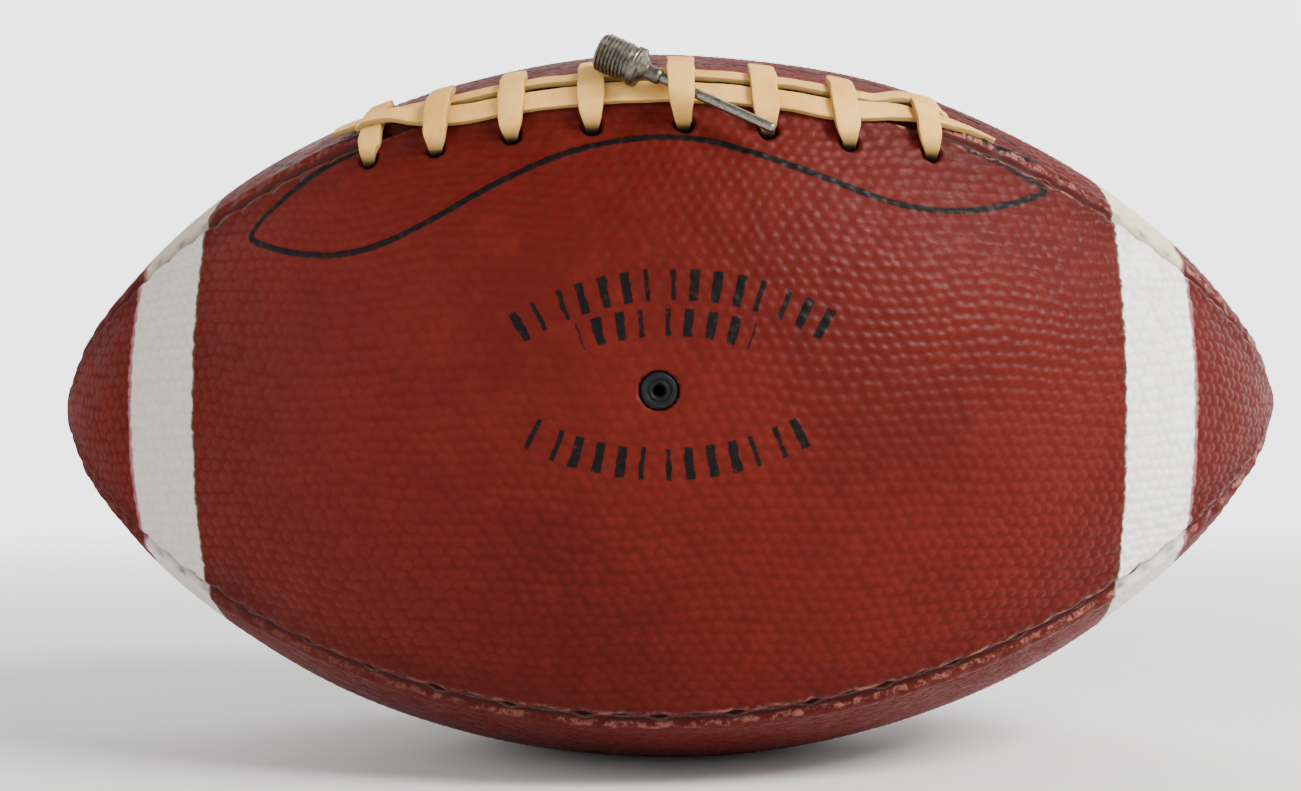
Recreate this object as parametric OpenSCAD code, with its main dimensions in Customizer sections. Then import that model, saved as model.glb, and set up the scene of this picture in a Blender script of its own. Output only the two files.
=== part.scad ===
// Laced four-panel football, slightly soft, with an inflating needle tucked under the lace.
// The long axis is X. The lace seam is at the front top corner (-Y, +Z).
// The ball rests on a small flat contact patch of its bottom panel, centred on the origin.

/* [Body] */
// overall length, tip to tip
ball_len = 280; // [270:1:295]
// radius at the middle of a panel, at mid length
panel_r = 79.3; // [74:0.1:86]
// how far each panel arc's centre sits past the ball's axis (0 = round section)
arc_shift = 62; // [0:1:90]
// how quickly the section turns round towards the tips
arc_fade = 1.7; // [1:0.1:4]
// bluntness of the profile (0.5 = ellipsoid)
tip_power = 0.68; // [0.55:0.01:0.85]
// half height from the floor to the axis, less than panel_r by the contact flattening
rest_h = 78.1; // [76:0.1:79]
// leather thickness
leather_t = 2.2; // [1.6:0.1:3]
// depth of the turned-in seam edges, from the outer surface
turn_d = 5.2; // [3:0.1:7]
// depth of the stitched seam groove
groove_d = 2; // [0.5:0.1:2.5]

/* [Lining and bladder] */
// depth of the lining's outer face
lining_d = 2.5; // [2.3:0.1:3]
// lining thickness
lining_t = 0.9; // [0.5:0.1:1.2]
// depth of the bladder's outer face at the middle of a panel
bladder_d = 4.1; // [3.8:0.1:6]
// extra depth of the bladder under the seams
bladder_corner = 5; // [3:0.1:8]
// bladder wall
bladder_t = 1; // [0.6:0.1:2]

/* [Lace] */
// crossbar positions along the ball
lace_x = [-57.5, -43.2, -27.8, -11.7, 6.2, 22.7, 38.7, 55.2];
// lace width
lace_w = 5.5; // [4:0.1:7]
// lace thickness
lace_t = 1.3; // [1:0.1:2]
// distance of the lace holes from the seam, as an angle about the ball's axis
hole_a = 5.9; // [5:0.1:8]
// radius of a lace hole
hole_r = 1.9; // [1.5:0.1:2.5]
// how far the lace rides up onto the top panel at its ends, as an angle
lace_up = 4.4; // [0:0.1:5]

/* [Valve] */
// valve position along the ball
valve_x = 2; // [-5:0.5:5]
// valve height above the axis
valve_z = 2; // [-5:0.5:5]
// radius of the rubber valve face
valve_r = 3.6; // [3.4:0.1:6]
// radius of the needle channel
channel_r = 1.1; // [1.05:0.05:1.4]

/* [Needle] */
// radius of the tube
tube_r = 1; // [0.8:0.05:1.2]
// crest radius of the threaded end
thread_r = 3.95; // [3.5:0.05:4.2]
// needle tip
needle_tip = [24.7, -73, 53];
// where the needle crosses the lace seam
needle_mid = [0.1, -69.3, 65.1];
// length from the back of the head to the tip
needle_len = 38.6; // [37:0.1:50]

/* [Hidden] */
$fn = 48;

leather = [0.55, 0.16, 0.11];
canvas = [0.83, 0.78, 0.66];
hide = [0.93, 0.8, 0.56];
black = [0.1, 0.1, 0.1];
// panel directions about X, measured from +Y towards +Z: front, top, back, bottom
base = [180, 90, 0, 270];
half = ball_len / 2;
n_ring = 32;
t_ring = [for (i = [0 : n_ring]) sin(-90 + 180 * i / n_ring)];

// ---- the ball's surface ----
function shift(t) = arc_shift * (1 - pow(abs(t), arc_fade));
function sec(t, a) = let (c = shift(t)) -c * cos(a) + sqrt(pow(panel_r + c, 2) - pow(c * sin(a), 2));
function prof(t) = pow(max(0, 1 - t * t), tip_power);
// point at depth d, station t (-1..1) and angle w about X
function pt(d, t, w, a) =
    let (q = sec(t, a) * prof(t) * (1 - d / panel_r))
    [(half - 1.3 * d) * t, q * cos(w), max(q * sin(w), d - rest_h) + rest_h];
function on_panel(k, d, t, a) = pt(d, t, base[k] + a, a);
// near the lace seam, by the angle w alone
function side(w) = w > 135 ? 0 : 1;
function near(d, t, w) = on_panel(side(w), d, t, w - base[side(w)]);
function face_angle(t, w) =
    let (k = side(w), a = w - base[k])
    base[k] + asin(sec(t, a) * sin(a) / (panel_r + shift(t)));
function out_dir(t, w) = [0, cos(face_angle(t, w)), sin(face_angle(t, w))];
function above(h, t, w) = near(0, t, w) + h * out_dir(t, w);
function unit(v) = v / norm(v);

// ---- lofted solids ----
module loft(rings, capped) {
    m = len(rings[0]);
    n = len(rings);
    sides = [for (i = [0 : n - 2], j = [0 : m - 1])
        for (f = [[i * m + j, (i + 1) * m + j, (i + 1) * m + (j + 1) % m],
            [i * m + j, (i + 1) * m + (j + 1) % m, i * m + (j + 1) % m]]) f];
    ends = capped ? [[for (j = [0 : m - 1]) j], [for (j = [m - 1 : -1 : 0]) (n - 1) * m + j]] : [];
    polyhedron(points = [for (r = rings, p = r) p], faces = concat(sides, ends), convexity = 6);
}

// flat strip with eased edges along a path; hint lies across the strip
function strip_ring(p, dir, hint, w, h) =
    let (n = unit(cross(dir, hint)), s = unit(cross(n, dir)), e = 0.3 * h)
    [for (q = [[-w / 2, -h / 2 + e], [-w / 2 + e, -h / 2], [w / 2 - e, -h / 2], [w / 2, -h / 2 + e],
        [w / 2, h / 2 - e], [w / 2 - e, h / 2], [-w / 2 + e, h / 2], [-w / 2, h / 2 - e]])
        p + q[0] * s + q[1] * n];

function heading(path, i) = unit(path[min(i + 1, len(path) - 1)] - path[max(i - 1, 0)]);

// ---- leather panels ----
// angles across the middle of a panel
a_mid = [-36, -27, -18, -9, 0, 9, 18, 27, 36];
// angle and share of the groove's depth, from the seam to the top of the rolled shoulder
shoulder = [[0, 1], [0.6, 0.5], [1.8, 0.12], [4, 0]];
// widens those angles towards the tips, so the groove keeps its width
function widen(t) = min(2, 1 / prof(t));
function edge(k, t, s, i) = on_panel(k, abs(t) == 1 ? 0 : shoulder[i][1] * groove_d, t,
    s * (45 - shoulder[i][0] * widen(t)));
function turn(t) = leather_t + (turn_d - leather_t) * sqrt(max(0, 1 - t * t));

function panel_ring(k, t) = concat(
    [for (i = [0 : 3]) edge(k, t, -1, i)],
    [for (a = a_mid) on_panel(k, 0, t, a)],
    [for (i = [3 : -1 : 0]) edge(k, t, 1, i)],
    [for (a = [45, 45 - 1.2 * widen(t)]) on_panel(k, turn(t), t, a)],
    [on_panel(k, leather_t, t, 45 - 1.2 * widen(t))],
    [for (a = a_mid) on_panel(k, leather_t, t, -a)],
    [on_panel(k, leather_t, t, 1.2 * widen(t) - 45)],
    [for (a = [1.2 * widen(t) - 45, -45]) on_panel(k, turn(t), t, a)]);

module panel(k) {
    color(leather) loft([for (t = t_ring) panel_ring(k, t)], false);
}

// turns a distance from the lace seam, as an angle at mid length, into the angle at station t
function wide(t) = 1 / prof(t);

// the lace rides up onto the top panel towards its ends
function rise(x) = let (u = min(1, max(0, (abs(x) - 34) / 32))) lace_up * u * u * (3 - 2 * u);
function risen(x, w) = w - rise(x) * min(1, 1.29 - 0.12 * w);

// holes for the lace on the front side (s = 1) or the top side (s = -1) of its seam
module lace_holes(s) {
    for (x = lace_x) {
        t = foot_x(x, s) / half;
        w = 135 + risen(x, s * hole_a) * wide(t);
        translate(above(0, t, w)) rotate([face_angle(t, w) - 90, 0, 0])
            cylinder(r = hole_r, h = 14, center = true);
    }
}

// round hole through the front, on the valve's axis
module valve_hole(r) {
    translate([valve_x, -panel_r + 12, rest_h + valve_z]) rotate([90, 0, 0])
        cylinder(r = r, h = 24, center = true);
}

module panel_front() {
    color(leather) difference() {
        panel(0);
        lace_holes(1);
        valve_hole(valve_r + 0.1);
    }
}

module panel_top() {
    color(leather) difference() {
        panel(1);
        lace_holes(-1);
    }
}

module panel_back() panel(2);

module panel_bottom() panel(3);

// ---- linings ----
function a_lin(t) = let (e = 45 - 1.8 * widen(t)) concat([-e], a_mid, [e]);
module lining(k) {
    color(canvas) loft([for (t = t_ring) concat(
        [for (a = a_lin(t)) on_panel(k, lining_d, t, a)],
        [for (a = a_lin(t)) on_panel(k, lining_d + lining_t, t, -a)])], false);
}

module lining_front() {
    color(canvas) difference() {
        lining(0);
        lace_holes(1);
        valve_hole(valve_r + 0.1);
    }
}

module lining_top() {
    color(canvas) difference() {
        lining(1);
        lace_holes(-1);
    }
}

module lining_back() lining(2);

module lining_bottom() lining(3);

// ---- lace opening ----
// reinforcing strip behind the lace holes of one panel
module facing(s) {
    n = 12;
    color(leather) loft([for (i = [0 : n]) let (t = (-1 + 71 * (2 * i / n - 1)) / half)
        [near(3.7, t, 135 + s * 2.1), near(3.7, t, 135 + s * 6), near(3.7, t, 135 + s * 13.5),
            near(4.8, t, 135 + s * 13.5), near(4.8, t, 135 + s * 6), near(4.8, t, 135 + s * 2.1)]], true);
}

module lace_facing_front() {
    color(leather) difference() {
        facing(1);
        lace_holes(1);
    }
}

module lace_facing_top() {
    color(leather) difference() {
        facing(-1);
        lace_holes(-1);
    }
}

// loose strip under the opening that keeps the lace off the bladder
module lace_tongue() {
    n = 12;
    ws = [-10.5, -5, 0, 4, 8.5];
    color(leather) loft([for (i = [0 : n]) let (t = (-1 + 71 * (2 * i / n - 1)) / half) concat(
        [for (w = ws) near(5.7, t, 135 + w)],
        [for (j = [4 : -1 : 0]) near(6.6, t, 135 + ws[j])])], true);
}

// ---- seam threads ----
module seam_thread(w, t0, t1) {
    n = 36;
    r = 0.42;
    a = 45;
    path = [for (i = [0 : n]) pt(1.2, t0 + (t1 - t0) * i / n, w, a)];
    out = [0, cos(w), sin(w)];
    color(canvas) loft([for (i = [0 : n])
        let (u = heading(path, i), s = unit(cross(u, out)), q = cross(s, u))
        [for (b = [0 : 4]) path[i] + r * min(1, 1.8 * prof(t0 + (t1 - t0) * i / n))
            * (cos(72 * b + 90) * s + sin(72 * b + 90) * q)]], true);
}

module thread_front_bottom() seam_thread(225, -0.965, 0.965);

module thread_bottom_back() seam_thread(315, -0.965, 0.965);

module thread_back_top() seam_thread(45, -0.965, 0.965);

module thread_top_front_left() seam_thread(135, -0.965, -0.515);

module thread_top_front_right() seam_thread(135, 0.505, 0.965);

// ---- bladder and valve ----
function soft(a) = let (s = min(1, max(0, (abs(a) - 20) / 25))) s * s * (3 - 2 * s);
module bladder_skin(extra) {
    n = 28;
    ws = [for (j = [0 : 23]) 15 * j];
    color(black) loft([for (i = [0 : n]) let (t = sin(-90 + 180 * i / n))
        [for (w = ws) let (a = w - 90 * floor((w + 45) / 90))
            pt(bladder_d + bladder_corner * soft(a) + extra, t * 0.985, w, a)]], true);
}

module bladder() {
    color(black) difference() {
        bladder_skin(0);
        bladder_skin(bladder_t);
        valve_hole(valve_r);
    }
}

module on_valve_axis() {
    translate([valve_x, -panel_r, rest_h + valve_z]) rotate([-90, 0, 0]) children();
}

module valve_housing() {
    color(black) on_valve_axis() rotate_extrude()
        polygon([[1.6, 0.35], [valve_r - 0.3, 0.2], [valve_r, 0.45], [valve_r, 5.8], [12, 6.75],
            [12, 7.25], [5.5, 7.4],
            [4.6, 8.4], [4.2, 13.4], [1.6, 13.4], [1.6, 12.4], [2.6, 12.4], [2.6, 3.2],
            [channel_r, 3.2], [channel_r, 0.9]]);
}

module valve_plug() {
    color(black) on_valve_axis() rotate_extrude()
        polygon([[channel_r, 3.2], [2.6, 3.2], [2.6, 12.4], [channel_r, 12.4]]);
}

// ---- lace ----
// the crossbars lean a little more towards the right end of the ball
function foot_x(x, s) = x + s * (0.45 + 0.015 * x);
// extra height of a crossbar; one is raised by the needle below it, the end ones cross the seam's ridge
function bar_lift(x, i) = abs(x - 6.2) < 1 ? [3.1, 4.4, 4.5, 3.5, 1.7, 0.5, 0, 0][i]
    : abs(x) > 40 ? [0.3, 0.5, 0.5, 0.2, 0, 0, 0, 0][i] : 0;
bar_w = [4.7, 3.7, 2.4, 0.8, -0.8, -2.4, -3.7, -4.7];
bar_h = [2.1, 2.6, 2.5, 2.75, 2.75, 2.5, 2.6, 2.1];

module crossbar(x) {
    tf = foot_x(x, 1) / half;
    tt = foot_x(x, -1) / half;
    path = concat(
        [for (h = [-5.6, -3, -0.6]) above(h, tf, 135 + risen(x, hole_a) * wide(tf))],
        [above(0.8, tf, 135 + risen(x, hole_a - 0.4) * wide(tf))],
        [for (i = [0 : 7]) let (t = (x + bar_w[i] / 6 * (foot_x(x, 1) - x)) / half)
            above(bar_h[i] + bar_lift(x, i), t, 135 + risen(x, bar_w[i]) * wide(t))],
        [above(0.8, tt, 135 + risen(x, 0.4 - hole_a) * wide(tt))],
        [for (h = [-0.6, -3, -5.6]) above(h, tt, 135 + risen(x, -hole_a) * wide(tt))]);
    n = len(path);
    along = near(0, x / half - 0.01, 136) - near(0, x / half + 0.01, 136);
    loft([for (i = [0 : n - 1])
        let (e = min(i, n - 1 - i), w = e < 3 ? 2.6 : e == 3 ? 3.4 : e == 4 ? 4.8 : lace_w)
        strip_ring(path[i], heading(path, i), along, w, lace_t)], true);
}

module lace_crossbars() {
    color(hide) for (x = lace_x) crossbar(x);
}

// outward direction that turns gradually over the seam
function eased_dir(t, w) =
    let (d = w - 135, e = d < 0 ? -1 : 1, far = face_angle(t, 135 + e * 1.9),
        f = abs(d) < 1.9 ? 135 + (far - 135) * abs(d) / 1.9 : face_angle(t, w))
    [0, cos(f), sin(f)];

// long strand beside the seam: side s, from x0 to x1
module strand(s, x0, x1) {
    n = 26;
    ts = [for (i = [0 : n]) (x0 + (x1 - x0) * i / n) / half];
    ws = [for (t = ts) 135 + (s * 1.75 - rise(t * half)) * wide(t)];
    path = [for (i = [0 : n]) near(0, ts[i], ws[i]) + 0.95 * eased_dir(ts[i], ws[i])];
    color(hide) loft([for (i = [0 : n])
        strip_ring(path[i], heading(path, i), cross(eased_dir(ts[i], ws[i]), [1, 0, 0]),
            i == 0 || i == n ? lace_w - 2 : lace_w - 0.9, lace_t)], true);
}

module lace_strand_upper() strand(-1, -67.5, 58.5);

module lace_strand_lower() strand(1, -60.5, 68.5);

// ---- needle ----
needle_dir = unit(needle_tip - needle_mid);
needle_back = needle_tip - needle_len * needle_dir;
// local z runs from the back of the head to the tip, local x lies level
needle_x = unit(cross([0, 0, 1], needle_dir));
needle_y = cross(needle_dir, needle_x);
module along_needle() {
    multmatrix([[needle_x[0], needle_y[0], needle_dir[0], needle_back[0]],
        [needle_x[1], needle_y[1], needle_dir[1], needle_back[1]],
        [needle_x[2], needle_y[2], needle_dir[2], needle_back[2] + rest_h],
        [0, 0, 0, 1]]) children();
}

module needle_head() {
    pitch = 0.8;
    color([0.6, 0.58, 0.52]) along_needle() difference() {
        rotate_extrude() polygon(concat(
            [[tube_r, 0], [thread_r - 0.6, 0]],
            [for (i = [0 : 7]) for (q = [[thread_r - 0.45, 0.2], [thread_r, 0.45], [thread_r, 0.6],
                [thread_r - 0.45, 0.85]]) [q[0], q[1] + i * pitch]],
            [[thread_r - 0.5, 7.2], [3.95, 7.4], [4.05, 7.6], [4.05, 8.6], [3.95, 8.8], [3.2, 8.9],
                [1.6, 10.6], [1.6, 13], [1.4, 13.6], [tube_r, 13.6]]));
        for (i = [0 : 17]) rotate([0, 0, 20 * i]) translate([4.05, 0, 8.1])
            cube([0.35, 0.5, 1.6], center = true);
    }
}

module needle_tube() {
    color([0.62, 0.61, 0.58]) along_needle() difference() {
        rotate_extrude() polygon([[0.6, 1.5], [tube_r, 1.5], [tube_r, needle_len - 0.7],
            [0.7, needle_len - 0.1], [0.4, needle_len], [0, needle_len], [0, needle_len - 0.6],
            [0.6, needle_len - 1.2]]);
        translate([0, 0.8, needle_len - 3.2]) rotate([90, 0, 0])
            cylinder(r = 0.4, h = 1.6, center = true);
    }
}

panel_front();
panel_top();
panel_back();
panel_bottom();
lining_front();
lining_top();
lining_back();
lining_bottom();
lace_facing_front();
lace_facing_top();
lace_tongue();
thread_front_bottom();
thread_bottom_back();
thread_back_top();
thread_top_front_left();
thread_top_front_right();
bladder();
valve_housing();
valve_plug();
lace_crossbars();
lace_strand_upper();
lace_strand_lower();
needle_head();
needle_tube();
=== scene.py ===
import math

import bmesh
import bpy
import numpy as np
from mathutils import Matrix, Vector


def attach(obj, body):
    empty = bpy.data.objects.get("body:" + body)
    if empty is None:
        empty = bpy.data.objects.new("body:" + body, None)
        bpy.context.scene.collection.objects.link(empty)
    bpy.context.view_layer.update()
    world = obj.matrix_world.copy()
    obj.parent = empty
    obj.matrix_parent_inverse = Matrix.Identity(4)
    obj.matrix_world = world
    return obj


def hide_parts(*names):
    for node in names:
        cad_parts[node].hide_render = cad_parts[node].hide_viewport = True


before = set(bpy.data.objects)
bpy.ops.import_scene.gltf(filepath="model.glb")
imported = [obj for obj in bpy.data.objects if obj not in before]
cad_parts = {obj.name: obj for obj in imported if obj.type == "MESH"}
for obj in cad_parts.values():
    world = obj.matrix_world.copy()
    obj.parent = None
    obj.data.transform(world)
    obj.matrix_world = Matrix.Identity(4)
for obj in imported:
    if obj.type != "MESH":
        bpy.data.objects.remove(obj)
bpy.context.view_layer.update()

# ---------------------------------------------------------------- the ball's shape, in mm
HALF, PANEL_R, REST = 140.0, 79.3, 78.1  # half length, radius at a panel's middle, height of the axis
SHIFT, FADE, POWER = 62.0, 1.7, 0.68  # how square the section is, how that fades, how full the ends are
BASE = [180.0, 90.0, 0.0, 270.0]  # front, top, back, bottom: angle from +Y towards +Z


def prof(t):
    """Size of the section at station t, 1 in the middle and 0 at the tips."""
    return np.clip(1 - t * t, 0, None) ** POWER


def shift(t):
    return SHIFT * (1 - np.abs(t) ** FADE)


def sec(t, a):
    """Radius of the section, a degrees from a panel's middle, before its size is applied."""
    a = np.radians(a)
    c = shift(t)
    return -c * np.cos(a) + np.sqrt((PANEL_R + c) ** 2 - (c * np.sin(a)) ** 2)


def point(d, t, w, a):
    """Depth d, station t from -1 to 1, angle w about X, angle a from its panel's middle."""
    q = sec(t, a) * prof(t) * (1 - d / PANEL_R)
    w = np.radians(w)
    x = (HALF - 1.3 * d) * t + 0 * q
    return np.stack([x, q * np.cos(w), np.maximum(q * np.sin(w), d - REST) + REST], -1)


def near(d, t, w):
    """As point(), on whichever of the front and top panels w falls on."""
    k = 0 if w > 135 else 1
    return point(d, np.float64(t), np.float64(w), np.float64(w - BASE[k]))


def face_angle(t, w):
    """Direction the surface faces at angle w, in degrees."""
    k = 0 if w > 135 else 1
    a = w - BASE[k]
    s = sec(np.float64(t), a) * math.sin(math.radians(a)) / (PANEL_R + shift(np.float64(t)))
    return BASE[k] + math.degrees(math.asin(s))


def heading(degrees):
    f = math.radians(degrees)
    return np.array([0.0, math.cos(f), math.sin(f)])


def above(h, t, w):
    """The point h mm above the surface."""
    return near(0, t, w) + h * heading(face_angle(t, w))


def wide(t):
    """Turns degrees in the middle of the ball into degrees over the same distance at station t."""
    return 1 / float(prof(np.float64(t)))


def unit(v):
    return v / np.maximum(np.linalg.norm(v, axis=-1, keepdims=True), 1e-12)


def smooth(x, a, b):
    s = np.clip((x - a) / (b - a), 0, 1)
    return s * s * (3 - 2 * s)


def rnd(i, j, seed):
    """Seeded random value from 0 to 1 for each cell of a grid."""
    v = np.sin(i * 12.9898 + j * 78.233 + seed * 37.719) * 43758.5453
    return v - np.floor(v)


def waves(u, v, scale, seed):
    """Soft seeded noise, about -1 to 1, from value noise on a grid of that scale."""
    x, y = u / scale + 100.3 + seed, v / scale + 57.1 - seed
    i, j = np.floor(x), np.floor(y)
    fx, fy = x - i, y - j
    fx, fy = fx * fx * (3 - 2 * fx), fy * fy * (3 - 2 * fy)
    a, b = rnd(i, j, seed), rnd(i + 1, j, seed)
    c, e = rnd(i, j + 1, seed), rnd(i + 1, j + 1, seed)
    return 2 * ((a * (1 - fx) + b * fx) * (1 - fy) + (c * (1 - fx) + e * fx) * fy) - 1


# ---------------------------------------------------------------- meshes
def link(name, data):
    o = bpy.data.objects.new(name, data)
    bpy.context.scene.collection.objects.link(o)
    return o


def make_mesh(name, parts, attrs=None):
    """parts: list of (rings n x m x 3 in mm, closed, capped). attrs: name to list of n x m arrays."""
    verts, faces, base = [], [], 0
    for rings, closed, capped in parts:
        n, m = rings.shape[:2]
        verts.append(rings.reshape(-1, 3) * 0.001)
        i, j = np.meshgrid(np.arange(n - 1), np.arange(m if closed else m - 1), indexing="ij")
        i, j = i.ravel(), j.ravel()
        j2 = (j + 1) % m
        faces.append(base + np.stack([i * m + j, (i + 1) * m + j, (i + 1) * m + j2, i * m + j2], -1))
        if capped:
            for r in (0, n - 1):
                verts.append(rings[r].mean(0, keepdims=True) * 0.001)
        base += n * m + (2 if capped else 0)
    mesh = bpy.data.meshes.new(name)
    # caps as fans round each end's centre
    tris, base = [], 0
    for rings, closed, capped in parts:
        n, m = rings.shape[:2]
        if capped:
            k = np.arange(m)
            c0, c1 = base + n * m, base + n * m + 1
            tris.append(np.stack([base + k, base + (k + 1) % m, np.full(m, c0)], -1))
            last = base + (n - 1) * m
            tris.append(np.stack([last + (k + 1) % m, last + k, np.full(m, c1)], -1))
        base += n * m + (2 if capped else 0)
    v = np.concatenate(verts)
    quads = np.concatenate(faces)
    tri = np.concatenate(tris) if tris else np.zeros((0, 3), int)
    loops = np.concatenate([quads.ravel(), tri.ravel()]).astype(np.int32)
    starts = np.concatenate([np.arange(len(quads)) * 4, len(quads) * 4 + np.arange(len(tri)) * 3])
    starts = starts.astype(np.int32)
    mesh.vertices.add(len(v))
    mesh.vertices.foreach_set("co", v.ravel().astype(np.float32))
    mesh.loops.add(len(loops))
    mesh.loops.foreach_set("vertex_index", loops)
    mesh.polygons.add(len(starts))
    mesh.polygons.foreach_set("loop_start", starts)
    mesh.update(calc_edges=True)
    mesh.validate()
    mesh.polygons.foreach_set("use_smooth", np.ones(len(mesh.polygons), bool))
    for key, arrays in (attrs or {}).items():
        flat = []
        for (rings, closed, capped), a in zip(parts, arrays):
            flat.append(np.asarray(a, float).ravel())
            if capped:
                flat.append(np.array([np.mean(a[0]), np.mean(a[-1])]))
        data = np.concatenate(flat).astype(np.float32)
        if len(data) == len(mesh.vertices):
            mesh.attributes.new(key, "FLOAT", "POINT").data.foreach_set("value", data)
    return mesh


def resample(p, n):
    """Catmull-Rom through the points, evenly along the path."""
    p = np.asarray(p, float)
    q = np.concatenate([[2 * p[0] - p[1]], p, [2 * p[-1] - p[-2]]])
    out = []
    for i in range(len(p) - 1):
        t = np.linspace(0, 1, 24, endpoint=False)[:, None]
        a, b, c, d = q[i], q[i + 1], q[i + 2], q[i + 3]
        square, cube = 2 * a - 5 * b + 4 * c - d, 3 * b - a - 3 * c + d
        out.append(0.5 * (2 * b + (c - a) * t + square * t**2 + cube * t**3))
    out = np.concatenate(out + [p[-1:]])
    s = np.concatenate([[0], np.cumsum(np.linalg.norm(np.diff(out[:, :3], axis=0), axis=1))])
    g = np.linspace(0, s[-1], n)
    return np.stack([np.interp(g, s, out[:, k]) for k in range(out.shape[1])], -1), g


def headings(p):
    return unit(np.gradient(p, axis=0))


STRIP_M = 26  # points round a strip's section


def section_angles():
    return np.linspace(0, 2 * np.pi, STRIP_M, endpoint=False) + np.pi / STRIP_M


def cut_edges(n):
    """Mask of a strip's two narrow sides."""
    return (np.abs(np.cos(section_angles())) > 0.93)[None] * np.ones((n, 1))


def strip(path, across, w, h, rough, seed):
    """A flat strip with rounded edges: rings n x m x 3."""
    square = 0.34
    d = headings(path)
    nrm = unit(np.cross(d, across))
    side = unit(np.cross(nrm, d))
    b = section_angles()
    cx = np.sign(np.cos(b)) * np.abs(np.cos(b)) ** square
    cy = np.sign(np.sin(b)) * np.abs(np.sin(b)) ** square
    w = np.broadcast_to(w, (len(path),))[:, None, None] / 2
    h = np.broadcast_to(h, (len(path),))[:, None, None] / 2
    r = path[:, None] + side[:, None] * (w * cx[None, :, None]) + nrm[:, None] * (h * cy[None, :, None])
    u = np.arange(len(path))[:, None] * 0.7 + 0 * b[None]
    v = np.arange(STRIP_M)[None] * 1.3 + 0 * u
    r = r + nrm[:, None] * (rough * waves(u, v, 3.0, seed))[..., None]
    return r + side[:, None] * (rough * 0.8 * waves(u + 40, 0 * v, 4.0, seed + 3))[..., None]


# ---------------------------------------------------------------- where things sit
LACE_X = [-57.5, -43.2, -27.8, -11.7, 6.2, 22.7, 38.7, 55.2]  # the crossbars
HOLE_A = 5.9  # a lace hole, in degrees from the seam
LACE_W, LACE_T, LACE_UP = 5.5, 1.3, 4.4  # width and thickness; degrees the lace rides up at its ends
VALVE, VALVE_R = np.array([2.0, REST + 2.0]), 3.6
TIP, MID = np.array([24.7, -73.0, 53.0]), np.array([0.1, -69.3, 65.1])  # needle: its tip, a point behind
NEEDLE_LEN, THREAD_R, TUBE_R = 38.6, 3.95, 1.0
STRIPE_IN, STRIPE_OUT = 96.4, 113.4
PITCH = 7.7  # one stitch along a seam


def rise(x):
    """How far the lace rides up onto the top panel towards its ends."""
    return LACE_UP * smooth(abs(x), 34.0, 66.0)


def risen(x, w):
    """Angle from the seam for an angle w of the lace, once the lace has ridden up there."""
    return w - rise(x) * min(1.0, 1.29 - 0.12 * w)


def eased_dir(t, w):
    """Outward direction that turns gradually over the seam."""
    d = w - 135
    if abs(d) < 1.9:
        f = 135 + (face_angle(t, 135 + math.copysign(1.9, d)) - 135) * abs(d) / 1.9
    else:
        f = face_angle(t, w)
    return heading(f)


def foot_x(x, s):
    """Where a crossbar's foot is along the ball, on the front (s = 1) or top (s = -1) panel."""
    return x + s * (0.45 + 0.015 * x)


def foot(x, s):
    t = foot_x(x, s) / HALF
    return above(0.0, t, 135 + risen(x, s * HOLE_A) * wide(t))


def outline_curve():
    """The outline on the front panel, as (x, distance from the lace seam) in mm, open under the lace."""
    p = [[-59, 2.6], [-64, 3.1], [-70, 4.1], [-76.5, 6.0], [-82, 8.7], [-84, 11.6], [-79.5, 16.2],
         [-73, 20.8], [-64, 25.0], [-54, 26.2], [-43, 23.8], [-30, 18.8], [-17, 14.4], [-5, 12.3],
         [8, 12.0], [20, 14.2], [33, 17.2], [45, 19.5], [54, 19.4], [63, 16.8], [71, 12.4], [77.4, 7.6],
         [80.3, 4.9], [79.6, 3.9], [75.5, 3.4], [70, 2.7], [64, 2.3]]
    return resample(p, 260)[0]


def on_seam_side(x, e, k):
    """The point e mm from the lace seam on the front (k = 0) or top (k = 1) panel."""
    t = np.asarray(x, float) / HALF
    r = 86.0 * prof(t)
    a = 45 - np.degrees(np.asarray(e, float) / r)
    a = a if k else -a
    return point(0.0, t, BASE[k] + a, a)


# ---------------------------------------------------------------- leather panels
GRAIN_H, GRAIN_U, GRAIN_V = 0.44, 2.65, 2.4  # height of the pebbles; spacing along and across the ball
LEATHER_T = 2.25
EDGE_ZONE = 5.0  # degrees beside each seam that are divided more finely
FAR = 50.0


def station_grid(n):
    """Stations that are evenly spaced over the surface, and the distance to each from the middle, in mm."""
    s = np.radians(np.linspace(-89.6, 89.6, 4001))
    t = np.sin(s)
    arc = np.concatenate([[0], np.cumsum(np.hypot(HALF * np.diff(t), 84 * np.diff(prof(t))))])
    g = np.linspace(0, arc[-1], n)
    return np.interp(g, arc, t), g - arc[-1] / 2


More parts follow.
